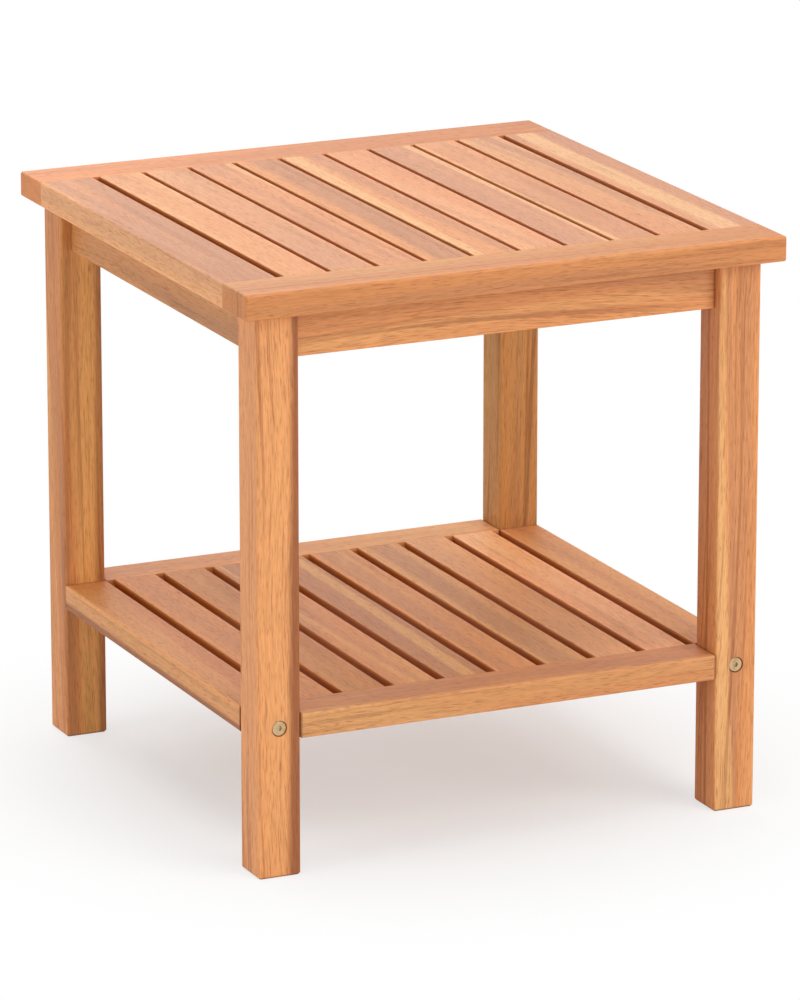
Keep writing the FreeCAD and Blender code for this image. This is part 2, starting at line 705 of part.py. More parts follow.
def make_pan_screw(doc, name, diameter, head, length):
    shank = half(diameter)
    top = "-Sizes.screw_head_height"
    body = make_turned(doc, name, [
        ("0", top), (f"{head} / 4", top), (half(head), half(top)), (half(head), "0"),
        (shank, "0"), (shank, f"{length} - Sizes.screw_tip"), ("0", length)])
    cut_cross(body, top)
    return body


def make_countersunk_screw(doc, name, diameter, head, length):
    shank = half(diameter)
    body = make_turned(doc, name, [
        ("0", "0"), (half(head), "0"), (shank, f"({head} - {diameter}) / 2"),
        (shank, f"{length} - Sizes.screw_tip"), ("0", length)])
    cut_cross(body, "0")
    return body


def make_shelf_bolt(doc):
    """Flat round head with a hex socket; the head lies behind the seat."""
    top = "-Sizes.bolt_head_height"
    body = make_cylinder(doc, "shelf_bolt_master", "Sizes.bolt_head_diameter",
                         "Sizes.bolt_head_height", start=top)
    soften(body, "Fillet", "Sizes.bolt_head_edge", [("z-",)])
    add_cylinder(body, "Sizes.bolt_diameter", "Layout.bolt_length")
    socket = new_sketch(body, "XY_Plane", lift=top)
    hexagon(socket, "Sizes.bolt_socket_width")
    cut(body, socket, "Sizes.bolt_socket_depth", along_normal=True)
    return body


def make_barrel_nut(doc):
    """Cross dowel nut, centred on its origin, with a slot across its lower end."""
    length, diameter = "Sizes.barrel_nut_length", "Sizes.barrel_nut_diameter"
    body = make_cylinder(doc, "barrel_nut_master", diameter, length, start=negative(half(length)))
    thread = new_sketch(body, "XZ_Plane")
    circle(thread, eased("Sizes.bolt_diameter"))
    cut(body, thread)
    slot = new_sketch(body, "XZ_Plane")
    rectangle(slot, "-Sizes.barrel_nut_slot / 2", negative(length),
              "Sizes.barrel_nut_slot / 2", f"Sizes.barrel_nut_slot - {length} / 2")
    cut(body, slot)
    return body


def make_dowel(doc):
    """Wooden pin, centred on its origin."""
    length = "2 * Sizes.dowel_reach"
    body = make_cylinder(doc, "dowel_master", "Sizes.dowel_diameter", length,
                         start="-Sizes.dowel_reach")
    soften(body, "Chamfer", "Sizes.dowel_chamfer", [("z-",), ("z+",)])
    return body


def make_hanger_bolt(doc):
    """Headless bolt from its free end, at the origin, to its point inside the leg."""
    radius, length = "Sizes.hanger_diameter / 2", "Layout.hanger_length"
    return make_turned(doc, "hanger_bolt_master", [
        ("0", "0"), (f"{radius} - Sizes.hanger_chamfer", "0"), (radius, "Sizes.hanger_chamfer"),
        (radius, f"{length} - Sizes.screw_tip"), ("0", length)])


def make_washer(doc):
    body = make_cylinder(doc, "washer_master", "Sizes.washer_diameter", "Sizes.washer_thickness")
    hole = new_sketch(body, "XY_Plane")
    circle(hole, eased("Sizes.hanger_diameter"))
    cut(body, hole)
    return body


def make_nut(doc):
    body = new_body(doc, "nut_master")
    section = new_sketch(body, "XY_Plane")
    hexagon(section, "Sizes.nut_width")
    circle(section, eased("Sizes.hanger_diameter"))
    pad(body, section, "Sizes.nut_height")
    return body


def group(doc, name, master, places):
    """Copies of one master. Each place is a drive direction and formulas for x, y and z."""
    links = []
    for number, (direction, x, y, z) in enumerate(places, start=1):
        link = doc.addObject("App::Link", f"{name}_{number}")
        link.LinkedObject = master
        link.Placement = Placement(Vector(), Rotation(UP, direction))
        bind_place(link, x, y, z)
        links.append(link)
    compound = doc.addObject("Part::Compound", name)
    compound.Links = links
    return compound


def corners():
    """The four corners of the table as side and end signs."""
    return [(side, end) for end in (FRONT, BACK) for side in (LEFT, RIGHT)]


def make_shelf_fastenings(doc):
    bolts, nuts, dowels = [], [], []
    for side, end in corners():
        inward = Vector(0, -end, 0)
        x = f"{side} * Layout.leg_x"
        bolts.append((inward, x, f"{end} * Layout.bolt_seat_y", "Layout.shelf_middle"))
        nuts.append((UP, x, f"{end} * Layout.barrel_nut_y", "Layout.shelf_middle"))
        dowels.append((inward, f"{side} * (Layout.leg_x - Sizes.dowel_offset)",
                       f"{end} * Layout.bay_depth / 2", "Layout.shelf_middle"))
    return [group(doc, "shelf_bolts", make_shelf_bolt(doc), bolts),
            group(doc, "shelf_barrel_nuts", make_barrel_nut(doc), nuts),
            group(doc, "shelf_dowels", make_dowel(doc), dowels)]


def make_hanger_fastenings(doc):
    """Bolt, washer and nut on the slanting face of each corner block."""
    bolts, washers, nuts = [], [], []
    washer, nut = "Sizes.washer_thickness", "Sizes.nut_height"
    free_end = f"{washer} + {nut} + Sizes.hanger_tail"
    for side, end in corners():
        outward = Vector(side, end, 0)
        for places, rise in ((bolts, free_end), (washers, washer), (nuts, f"{washer} + {nut}")):
            reach = f"(Layout.block_far / sqrt(2) + {rise}) / sqrt(2)"
            places.append((outward, f"{side} * (Layout.apron_inner_x - {reach})",
                           f"{end} * (Layout.apron_inner_y - {reach})", "Layout.block_middle"))
    return [group(doc, "hanger_bolts", make_hanger_bolt(doc), bolts),
            group(doc, "hanger_washers", make_washer(doc), washers),
            group(doc, "hanger_nuts", make_nut(doc), nuts)]


def make_block_screws(doc):
    screw = make_pan_screw(doc, "block_screw_master", "Sizes.block_screw_diameter",
                           "Sizes.block_screw_head", "Layout.block_screw_length")
    places = []
    for side, end in corners():
        for level in (-1, 1):
            z = f"Layout.block_middle + {level} * Sizes.block_screw_spacing / 2"
            along_x = f"{side} * (Layout.apron_inner_x - Layout.block_screw_reach)"
            seat_y = f"{end} * (Layout.apron_inner_y - Sizes.block_screw_seat)"
            places.append((Vector(0, end, 0), along_x, seat_y, z))
            along_y = f"{end} * (Layout.apron_inner_y - Layout.block_screw_reach)"
            seat_x = f"{side} * (Layout.apron_inner_x - Sizes.block_screw_seat)"
            places.append((Vector(side, 0, 0), seat_x, along_y, z))
    return group(doc, "corner_block_screws", screw, places)


def make_top_screws(doc):
    screw = make_pan_screw(doc, "top_screw_master", "Sizes.top_screw_diameter",
                           "Sizes.top_screw_head", "Layout.top_screw_length")
    seat = "Layout.apron_base + Layout.top_screw_rise"
    places = []
    for side, end in corners():
        places.append((UP, f"{side} * Layout.top_screw_x", f"{end} * Layout.leg_y", seat))
        places.append((UP, f"{side} * Layout.leg_x", f"{end} * Layout.top_screw_y", seat))
    return group(doc, "top_screws", screw, places)


def make_batten_screws(doc, top_count, shelf_count):
    screw = make_countersunk_screw(doc, "batten_screw_master", "Sizes.batten_screw_diameter",
                                   "Sizes.batten_screw_head", "Sizes.batten_screw_length")
    top_places = [(UP, x, "0", "Layout.top_batten_base") for x in slat_columns("top", top_count)]
    columns = slat_columns("shelf", shelf_count)
    columns += ["-Layout.shelf_side_screw_x", "Layout.shelf_side_screw_x"]
    shelf_places = [(UP, x, f"{end} * Layout.shelf_batten_y", "Layout.shelf_batten_base")
                    for end in (FRONT, BACK) for x in columns]
    return [group(doc, "top_batten_screws", screw, top_places),
            group(doc, "shelf_batten_screws", screw, shelf_places)]


# ---------------------------------------------------------------- model

def build(doc):
    make_sheet(doc, "Sizes", {name: str(value) for name, value in SIZES.items()})
    make_sheet(doc, "Layout", {name: f"={formula}" for name, formula in LAYOUT.items()})
    doc.recompute()
    top_count = int(SIZES["top_slat_count"])
    shelf_count = int(SIZES["shelf_slat_count"])

    pieces = [make_leg(doc, side, end) for side, end in corners()]
    pieces += make_aprons(doc)
    turns = {(LEFT, FRONT): 0, (RIGHT, FRONT): 90, (RIGHT, BACK): 180, (LEFT, BACK): 270}
    pieces += [make_corner_block(doc, side, end, turn) for (side, end), turn in turns.items()]
    pieces += [make_top_rail(doc, end) for end in (FRONT, BACK)]
    pieces += [make_top_side_slat(doc, side) for side in (LEFT, RIGHT)]
    pieces += make_top_slats(doc, top_count)
    pieces.append(make_top_batten(doc, top_count))
    pieces += [make_shelf_rail(doc, end) for end in (FRONT, BACK)]
    pieces += [make_shelf_side_slat(doc, side) for side in (LEFT, RIGHT)]
    pieces += make_shelf_slats(doc, shelf_count)
    pieces += [make_shelf_batten(doc, end, shelf_count) for end in (FRONT, BACK)]
    pieces += make_shelf_fastenings(doc)
    pieces += make_hanger_fastenings(doc)
    pieces.append(make_block_screws(doc))
    pieces.append(make_top_screws(doc))
    pieces += make_batten_screws(doc, top_count, shelf_count)
    doc.recompute()
    return pieces


def check(doc, pieces):
    """Stop before writing if a feature failed, cut nothing or left a bad shape."""
    for item in doc.Objects:
        if "Invalid" in item.State or "Error" in item.State:
            raise RuntimeError(f"{item.Label} did not compute: {item.State}")
        cuts = item.isDerivedFrom("PartDesign::Pocket") or item.isDerivedFrom("PartDesign::Hole")
        cuts = cuts or item.isDerivedFrom("PartDesign::SubtractiveCylinder")
        if cuts and item.Shape.Volume > item.BaseFeature.Shape.Volume - TOUCH:
            raise RuntimeError(f"{item.Label} cuts nothing")
    for piece in pieces:
        if piece.Shape.isNull() or not piece.Shape.isValid():
            raise RuntimeError(f"{piece.Label} has no valid shape")


def export(pieces):
    os.makedirs("parts", exist_ok=True)
    for piece in pieces:
        piece.Shape.exportStep(f"parts/{piece.Label}.step")
        print(f"{piece.Label}: {len(piece.Shape.Solids)} solids, {piece.Shape.Volume:.0f} mm3")


document = FreeCAD.newDocument("SideTable")
table_pieces = build(document)
check(document, table_pieces)
export(table_pieces)
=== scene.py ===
import math
import random
from typing import NamedTuple

import bpy
from bpy.props import FloatProperty, FloatVectorProperty, PointerProperty
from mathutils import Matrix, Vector


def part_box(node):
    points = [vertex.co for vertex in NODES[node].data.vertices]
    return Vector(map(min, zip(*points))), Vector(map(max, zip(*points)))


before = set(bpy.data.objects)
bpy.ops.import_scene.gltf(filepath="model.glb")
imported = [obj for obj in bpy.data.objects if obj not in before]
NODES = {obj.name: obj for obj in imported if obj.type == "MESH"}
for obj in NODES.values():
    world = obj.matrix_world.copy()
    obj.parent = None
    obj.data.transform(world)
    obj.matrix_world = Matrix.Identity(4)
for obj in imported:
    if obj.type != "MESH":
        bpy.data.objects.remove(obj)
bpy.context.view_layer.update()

bl_info = {
    "name": "Slatted Side Table",
    "version": (1, 0, 0),
    "blender": (4, 5, 0),
    "location": "View3D > Sidebar > Side Table",
    "description": "Finishes the boards and fittings of a slatted acacia side table and lights it",
    "category": "Object",
}

WHITE = (1.0, 1.0, 1.0, 1.0)


# ---------------------------------------------------------------- shader maths

class Value:
    """One output of a shader, so that maths on it can be written as Python."""

    def __init__(self, shader, socket):
        self.shader = shader
        self.socket = socket

    def __add__(self, other):
        return self.shader.math("ADD", self, other)

    def __radd__(self, other):
        return self.shader.math("ADD", other, self)

    def __sub__(self, other):
        return self.shader.math("SUBTRACT", self, other)

    def __rsub__(self, other):
        return self.shader.math("SUBTRACT", other, self)

    def __mul__(self, other):
        return self.shader.math("MULTIPLY", self, other)

    def __rmul__(self, other):
        return self.shader.math("MULTIPLY", other, self)

    def __truediv__(self, other):
        return self.shader.math("DIVIDE", self, other)

    def __pow__(self, other):
        return self.shader.math("POWER", self, other)

    def __abs__(self):
        return self.shader.math("ABSOLUTE", self)


# Sockets of a Mix node that blends colours: its factor, its two colours and its result.
MIX_FACTOR, MIX_FIRST, MIX_SECOND, MIX_RESULT = 0, 6, 7, 2


class Shader:
    """Node tree of one material or of the world."""

    def __init__(self, owner):
        owner.use_nodes = True
        self.owner = owner
        self.tree = owner.node_tree
        self.tree.nodes.clear()

    def add(self, kind, settings=None, inputs=None, output=0):
        """Add a node: its settings first, then the values or links of its sockets."""
        node = self.tree.nodes.new(kind)
        for name, setting in (settings or {}).items():
            setattr(node, name, setting)
        for socket, value in (inputs or {}).items():
            if isinstance(value, Value):
                self.tree.links.new(value.socket, node.inputs[socket])
            else:
                node.inputs[socket].default_value = value
        if isinstance(output, tuple):
            return [Value(self, node.outputs[name]) for name in output]
        return Value(self, node.outputs[output]) if node.outputs else None

    def math(self, operation, *terms):
        """One step of maths on numbers and values."""
        return self.add("ShaderNodeMath", {"operation": operation}, dict(enumerate(terms)))

    def vector(self, x, y, z):
        """Vector of three numbers or values."""
        return self.add("ShaderNodeCombineXYZ", {}, {"X": x, "Y": y, "Z": z})

    def vector_math(self, operation, first, second, output=0):
        """One step of maths on two vectors, which gives a vector or a value."""
        return self.add("ShaderNodeVectorMath", {"operation": operation}, {0: first, 1: second},
                        output)

    def place(self):
        """Where a point of the surface lies, in the object's own coordinates."""
        return self.add("ShaderNodeTexCoord", output="Object")

    def fade(self, value, start, end):
        """Smooth step from 0 at start to 1 at end, whichever is larger."""
        return self.add("ShaderNodeMapRange", {"interpolation_type": "SMOOTHSTEP"},
                        {"Value": value, "From Min": start, "From Max": end})

    def noise(self, spot, detail=0.0, roughness=0.5):
        """Noise from 0 to 1, with about one wave for each unit that the spot moves."""
        return self.add("ShaderNodeTexNoise", {},
                        {"Vector": spot, "Scale": 1.0, "Detail": detail, "Roughness": roughness})

    def noise_over(self, pitch, detail=0.0, roughness=0.5):
        """Noise over the whole object, from its waves per metre along X, Y and Z."""
        return self.noise(self.vector_math("MULTIPLY", self.place(), pitch), detail, roughness)

    def mix(self, amount, first, second):
        """Blend of two colours, each a colour or a link."""
        return self.add("ShaderNodeMix", {"data_type": "RGBA"},
                        {MIX_FACTOR: amount, MIX_FIRST: first, MIX_SECOND: second}, MIX_RESULT)

    def dim(self, colour, amount):
        """Colour times a number."""
        vector = colour if isinstance(colour, Value) else colour[:3]
        return self.add("ShaderNodeVectorMath", {"operation": "SCALE"},
                        {0: vector, "Scale": amount})

    def bump(self, height, strength, distance):
        """Normal of a surface with fine relief, whose depth is given in metres."""
        return self.add("ShaderNodeBump", {},
                        {"Height": height, "Strength": strength, "Distance": distance})

    def surface(self, shader):
        """Make a shader the surface of the material or world, and return that owner."""
        kind = "ShaderNodeOutputWorld" if isinstance(self.owner, bpy.types.World) \
            else "ShaderNodeOutputMaterial"
        self.add(kind, {}, {"Surface": shader})
        return self.owner


def paint(node, material):
    """Give a CAD node its finish."""
    for slot in NODES[node].material_slots:
        slot.material = material


def opaque(colour, tint=(1.0, 1.0, 1.0)):
    """Colour of a property, tinted, with full alpha."""
    return (*(min(1.0, part * share) for part, share in zip(colour, tint)), 1.0)


def vary(noise, amount):
    """Factor around 1 that follows a noise."""
    return 1.0 + (noise - 0.5) * amount


# ---------------------------------------------------------------- acacia

# Pitches are waves of noise per metre along the grain and across it.
WANDER_PITCH = (3.2, 9.0)
BAND_PITCH = (1.6, 55.0)
RING_PITCH = 3.0
LINE_PITCH = (24.0, 650.0)
FIBRE_PITCH = (55.0, 1300.0)
PORE_PITCH = (110.0, 1700.0)

# Fades are the values between which a mask goes from 0 to 1.
MAUVE_BAND_FADE = (0.50, 0.66)
HONEY_BAND_FADE = (0.47, 0.32)
RING_FADE = (0.53, 0.68)
LINE_FADE = (0.52, 0.72)
PORE_FADE = (0.58, 0.76)
STREAK_FADE = (1.25, 0.6)
FACING_FADE = (0.55, 0.9)

# These fades are distances in metres, from a board's top face, its ends or its long edges.
# The slot fades spread painted shade over the slots' walls, from their top edge downwards.
SLOT_PAINTED_SHADE_FADE = (-0.0008, 0.0032)
SLOT_SHADE_FADE = (0.0018, 0.006)
# painted shade at the ends of butted boards
JOINT_FADE = (0.0022, 0.0006)
# painted highlight along the long edges
ARRIS_FADE = (0.0035, 0.0008)

# Where the middle of the log lies, in metres from the middle of the board.
PITH_ASIDE = 0.02
PITH_BELOW = (0.03, 0.07)
QUARTER_SAWN_PITH_ASIDE = 0.09

# How much each effect counts. A bump is its strength and its depth in metres.
SEED_SPAN = 50
HONEY_BAND_SHARE = 0.8
RAGGED_BY_RINGS = 0.6
RAGGED_BY_LINES = 0.8
ROUGHNESS_SPREAD = 0.15
FINE_RELIEF = 0.4
GRAIN_BUMP = (0.3, 0.00022)
OILED_IOR = 1.42


class Streak(NamedTuple):
    """Band of other wood along a board.

    Centres and widths are shares of the board's half width, at its low and its high end. The lean
    is how far the streak moves sideways, in the same shares, between the board's middle and its
    face.
    """
    wood: str
    low: float
    high: float
    low_width: float
    high_width: float
    strength: float
    lean: float = 0.25


class Board(NamedTuple):
    """Finish of one board.

    Axes name the grain's direction, the width and the thickness. The slope is how far the grain
    runs sideways for each metre along it, the figure is how strongly rings and fine lines show, the
    bands are how strongly the colour drifts across the board, and the gloss is how strongly the
    surface mirrors. A quarter-sawn board was cut beside the middle of its log. Slots are the long
    edges (-1, 1 or both) that line a slot, and a butted board has ends that meet another board or
    the floor.
    """
    node: str
    axes: str
    tint: tuple = (1.0, 1.0, 1.0)
    streaks: tuple = ()
    quarter_sawn: bool = False
    slope: float = 0.0
    figure: float = 1.0
    bands: float = 0.75
    gloss: float = 0.5
    slots: tuple = ()
    butted: bool = False


def board_space(shader, board):
    """Distances from the board's centre along the grain, across its width and through it."""
    low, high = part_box(board.node)
    centre, half = (low + high) / 2, (high - low) / 2
    local = shader.vector_math("SUBTRACT", shader.place(), centre)
    parts = dict(zip("XYZ", shader.add("ShaderNodeSeparateXYZ", {}, {0: local}, ("X", "Y", "Z"))))
    halves = dict(zip("XYZ", half))
    return [parts[axis] for axis in board.axes], [halves[axis] for axis in board.axes]


def facing(shader, board, which, side=1.0):
    """How squarely a point of the surface looks along one of the board's own axes."""
    normal = shader.add("ShaderNodeTexCoord", output="Normal")
    axis = Vector([side * (name == board.axes[which]) for name in "XYZ"])
    return shader.vector_math("DOT_PRODUCT", normal, axis, "Value")


def grain_noise(shader, place, pitch, detail=0.0, roughness=0.5, seed=0.0):
    """Noise drawn out along a board's grain."""
    along, across, through = place
    long_pitch, cross_pitch = pitch
    spot = shader.vector(along * long_pitch + seed, across * cross_pitch, through * cross_pitch)
    return shader.noise(spot, detail, roughness)


def streak_mask(shader, streak, place, half, ragged):
    """Strength of a streak at each point, with an edge that follows the fine grain."""
    along, across, through = place
    low_to_high = along * (0.5 / half[0]) + 0.5
    centre = low_to_high * (streak.high - streak.low) + streak.low
    width = low_to_high * (streak.high_width - streak.low_width) + streak.low_width
    offset = across * (1 / half[1]) + through * (streak.lean / half[2]) - centre
    return shader.fade(abs(offset) / width + ragged, *STREAK_FADE) * streak.strength


def acacia(board, wood):
    """Oiled acacia cut from a log of its own: drifting rings, streaks, fibres and open pores."""
    chance = random.Random(board.node)
    shader = Shader(bpy.data.materials.new(f"acacia_{board.node}"))
    place, half = board_space(shader, board)
    along, across, through = place
    seed = chance.uniform(0, SEED_SPAN)

    # the grain runs out sideways and wanders a few millimetres on its way along the board
    wander = grain_noise(shader, place, WANDER_PITCH, detail=1.0, seed=seed) - 0.5
    drifted = across + along * board.slope + wander * wood.grain_wander
    winding = across + wander * wood.streak_wander
    aside, below = chance.uniform(-PITH_ASIDE, PITH_ASIDE), -chance.uniform(*PITH_BELOW)
    if board.quarter_sawn:
        aside = QUARTER_SAWN_PITH_ASIDE
    radius = ((drifted - aside) ** 2.0 + (through - below) ** 2.0) ** 0.5

    band_spot = shader.vector(along * BAND_PITCH[0], radius * BAND_PITCH[1], seed)
    broad = shader.noise(band_spot, detail=1.0)
    ring_spot = shader.vector(along * RING_PITCH, radius * (1 / wood.ring_spacing), seed)
    rings = shader.noise(ring_spot, detail=2.0, roughness=0.6)
    drifted_place = (along, drifted, through)
    lines = grain_noise(shader, drifted_place, LINE_PITCH, detail=3.0, roughness=0.7)
    fibre = grain_noise(shader, drifted_place, FIBRE_PITCH, detail=1.0)
    pores = shader.fade(grain_noise(shader, drifted_place, PORE_PITCH, seed=seed), *PORE_FADE)

    woods = {name: opaque(getattr(wood, name), board.tint)
             for name in ("heart", "honey", "mauve", "umber")}
    umber = woods["umber"]
    mauve_bands = shader.fade(broad, *MAUVE_BAND_FADE) * board.bands
    colour = shader.mix(mauve_bands, woods["heart"], woods["mauve"])
    honey_bands = shader.fade(broad, *HONEY_BAND_FADE) * (board.bands * HONEY_BAND_SHARE)
    colour = shader.mix(honey_bands, colour, woods["honey"])
    ragged = (rings - 0.5) * RAGGED_BY_RINGS + (lines - 0.5) * RAGGED_BY_LINES
    for streak in board.streaks:
        mask = streak_mask(shader, streak, (along, winding, through), half, ragged)
        colour = shader.mix(mask, colour, woods[streak.wood])
    for noise, limits, contrast in ((rings, RING_FADE, wood.ring_contrast),
                                    (lines, LINE_FADE, wood.line_contrast)):
        colour = shader.mix(shader.fade(noise, *limits) * (contrast * board.figure), colour, umber)
    crispness = wood.fibre_contrast * (board.figure + 1.0) / 2
    colour = shader.dim(colour, vary(fibre, crispness))
    colour = shader.mix(pores * wood.pore_depth, colour, umber)

    # end grain drinks more oil and is darker, and painted shade darkens the slots' walls and the
    # ends of butted boards
    end_grain = shader.fade(abs(facing(shader, board, 0)), *FACING_FADE)
    colour = shader.dim(colour, 1.0 - end_grain * wood.end_grain_darkening)
    # painted shade on the slots' walls: lighter near the top edge, darker further down
    for side in board.slots:
        wall = shader.fade(facing(shader, board, 1, side), *FACING_FADE)
        depth = half[2] - through
        painted_shade = shader.fade(depth, *SLOT_PAINTED_SHADE_FADE) * wood.slot_shade_cover
        colour = shader.mix(wall * painted_shade, colour, opaque(wood.slot_shade_colour))
        shade = shader.fade(depth, *SLOT_SHADE_FADE) * wood.slot_shade
        colour = shader.dim(colour, 1.0 - wall * shade)
    # painted shade: the last two millimetres at each end of a butted board are darkened where it
    # meets another board or the floor
    if board.butted:
        joint = shader.fade(half[0] - abs(along), *JOINT_FADE)
        colour = shader.mix(joint * wood.joint_shade, colour, umber)

    # painted highlight: the arrises are a little lighter
    rim = (half[1] - abs(across)) + (half[2] - abs(through))
    arris = shader.fade(rim, *ARRIS_FADE)
    colour = shader.dim(colour, 1.0 + arris * wood.arris_highlight)

    height = fibre * FINE_RELIEF + lines * FINE_RELIEF - pores
    return shader.surface(shader.add("ShaderNodeBsdfPrincipled", {}, {
        "Base Color": colour,
        "Roughness": wood.roughness + (pores + (lines - 0.5) + end_grain) * ROUGHNESS_SPREAD,
        "Normal": shader.bump(height, *GRAIN_BUMP),
        "IOR": OILED_IOR,
        "Specular IOR Level": board.gloss,
    }))


def finish_boards(boards, wood):
    """Give each board an acacia of its own."""
    for board in boards:
        paint(board.node, acacia(board, wood))


# ---------------------------------------------------------------- metal and dowels

# Pitches are waves of noise per metre along X, Y and Z, and fades and bumps are as above.
TARNISH_PITCH = (260.0, 260.0, 260.0)
TARNISH_FADE = (0.42, 0.66)
TARNISH_SHARE = 0.7
TARNISH_ROUGHNESS = 0.18
BRUSH_PITCH = (5200.0, 900.0, 700.0)
BRUSH_CONTRAST = 0.16
BRUSH_ROUGHNESS = 0.1
BRUSH_BUMP = (0.15, 0.00005)
BRASS_ROUGHNESS = 0.34
ZINC_ROUGHNESS = 0.38

DOWEL_FIBRE_PITCH = (1100.0, 60.0, 1100.0)
DOWEL_CONTRAST = 0.24
DOWEL_ROUGHNESS = 0.55
DOWEL_BUMP = (0.2, 0.0001)
FLECK_PITCH = (2400.0, 300.0, 2400.0)
FLECK_FADE = (0.62, 0.72)
FLECK_DARKENING = 0.2
FLECK_ROUGHNESS = 0.15


def plated(name, colour, tarnish, roughness):
    """Plated steel or brass with dull patches and fine scratches."""
    shader = Shader(bpy.data.materials.new(name))
    cloud = shader.noise_over(TARNISH_PITCH, detail=3.0, roughness=0.6)
    dull = shader.fade(cloud, *TARNISH_FADE)
    brush = shader.noise_over(BRUSH_PITCH, detail=1.0)
    base = shader.mix(dull * TARNISH_SHARE, opaque(colour), opaque(tarnish))
    return shader.surface(shader.add("ShaderNodeBsdfPrincipled", {}, {
        "Base Color": shader.dim(base, vary(brush, BRUSH_CONTRAST)),
        "Metallic": 1.0,
        "Roughness": roughness + dull * TARNISH_ROUGHNESS + (brush - 0.5) * BRUSH_ROUGHNESS,
        "Normal": shader.bump(brush, *BRUSH_BUMP),
    }))


def dowel_wood(colour):
    """Pale turned beech with short flecks."""
    shader = Shader(bpy.data.materials.new("beech_dowel"))
    fibre = shader.noise_over(DOWEL_FIBRE_PITCH, detail=2.0)
    flecks = shader.fade(shader.noise_over(FLECK_PITCH), *FLECK_FADE)
    return shader.surface(shader.add("ShaderNodeBsdfPrincipled", {}, {
        "Base Color": shader.dim(opaque(colour),
                                 vary(fibre, DOWEL_CONTRAST) - flecks * FLECK_DARKENING),
        "Roughness": DOWEL_ROUGHNESS + flecks * FLECK_ROUGHNESS,
        "Normal": shader.bump(fibre, *DOWEL_BUMP),
    }))


# ---------------------------------------------------------------- the boards of this table

LEGS = (
    Board("leg_front_left", "ZXY", (1.08, 0.98, 0.92), (
        Streak("honey", -0.1, -0.1, 1.6, 1.6, 0.4),
        Streak("umber", -1.2, -1.2, 0.3, 0.3, 0.2, 0.0),
        Streak("umber", 1.0, 1.0, 0.6, 0.4, 0.82, 0.0),
    ), quarter_sawn=True, slope=0.02, figure=2.0, bands=0.15, butted=True),
    Board("leg_front_right", "ZXY", (1.02, 1.00, 1.03), (
        # painted shade: the next streak darkens the leg's left face, which faces in under the
        # table, most towards the back
        Streak("umber", -2.0, -2.0, 1.8, 1.8, 0.2, -1.0),
        Streak("umber", -0.9, -1.1, 0.12, 0.08, 0.45, -1.0),
        Streak("mauve", -0.25, -0.85, 0.15, 0.13, 0.65),
        Streak("honey", 1.45, 0.8, 0.5, 0.08, 0.85, -2.0),
    ), quarter_sawn=True, slope=-0.03, figure=1.7, bands=0.5, gloss=0.2, butted=True),
    Board("leg_back_left", "ZXY", (1.06, 1.00, 0.79), (
        Streak("honey", 0.0, 0.0, 0.6, 0.6, 0.85),
        Streak("umber", 1.0, 1.0, 0.45, 0.38, 0.55, 0.0),
        Streak("umber", -1.2, -1.15, 0.03, 0.45, 0.4),
        Streak("mauve", -0.9, -0.6, 0.3, 0.4, 0.3),
    ), quarter_sawn=True, slope=0.03, figure=1.7, bands=0.9, butted=True),
    Board("leg_back_right", "ZXY", (0.75, 0.79, 0.69), (
        Streak("mauve", -0.5, -0.2, 0.2, 0.2, 0.4),
        Streak("umber", 0.0, 0.2, 0.06, 0.08, 0.3),
        Streak("honey", -1.2, -1.2, 0.3, 0.3, 0.5, 0.0),
    ), quarter_sawn=True, slope=-0.01, figure=1.8, bands=0.6, gloss=0.15, butted=True),
)

APRONS = (
    Board("apron_front", "XZY", (0.99, 0.95, 0.89), (
        Streak("mauve", 0.9, 0.5, 0.35, 0.4, 0.45),
        Streak("honey", -0.8, -0.3, 0.3, 0.3, 0.3),
        Streak("mauve", 4.0, 0.0, 0.3, 1.0, 0.3),
    ), slope=0.03, figure=2.1, bands=0.25, butted=True),
    Board("apron_back", "XZY", (0.97, 0.95, 0.95), (Streak("mauve", 0.2, -0.3, 0.4, 0.4, 0.4),),
          butted=True),
    Board("apron_left", "YZX", (0.76, 0.76, 0.63), (Streak("honey", 0.3, 0.6, 0.5, 0.4, 0.4),),
          figure=1.5, bands=0.9, butted=True),
    Board("apron_right", "YZX", (0.97, 0.95, 0.95), (Streak("mauve", -0.3, 0.1, 0.4, 0.3, 0.4),),
          butted=True),
)

TOP_RAILS = (
    Board("top_rail_front", "XYZ", (0.97, 0.90, 0.79), (
        Streak("mauve", 0.1, 0.1, 0.9, 0.9, 0.5, 0.0),
        Streak("mauve", 0.1, 0.0, 0.1, 0.02, 0.5, 0.0),
        Streak("umber", -0.35, -0.3, 0.07, 0.01, 0.35, 0.0),
        Streak("mauve", -0.6, -0.6, 0.08, 0.02, 0.5, 0.0),
        # painted shade: the next streak darkens the rail's front face a little
        Streak("umber", -1.25, -1.25, 0.3, 0.3, 0.16, 0.0),
    ), slope=-0.02, figure=1.3),
    Board("top_rail_back", "XYZ", (1.07, 0.94, 0.87), (Streak("mauve", 0.6, 0.3, 0.2, 0.2, 0.2),)),
)

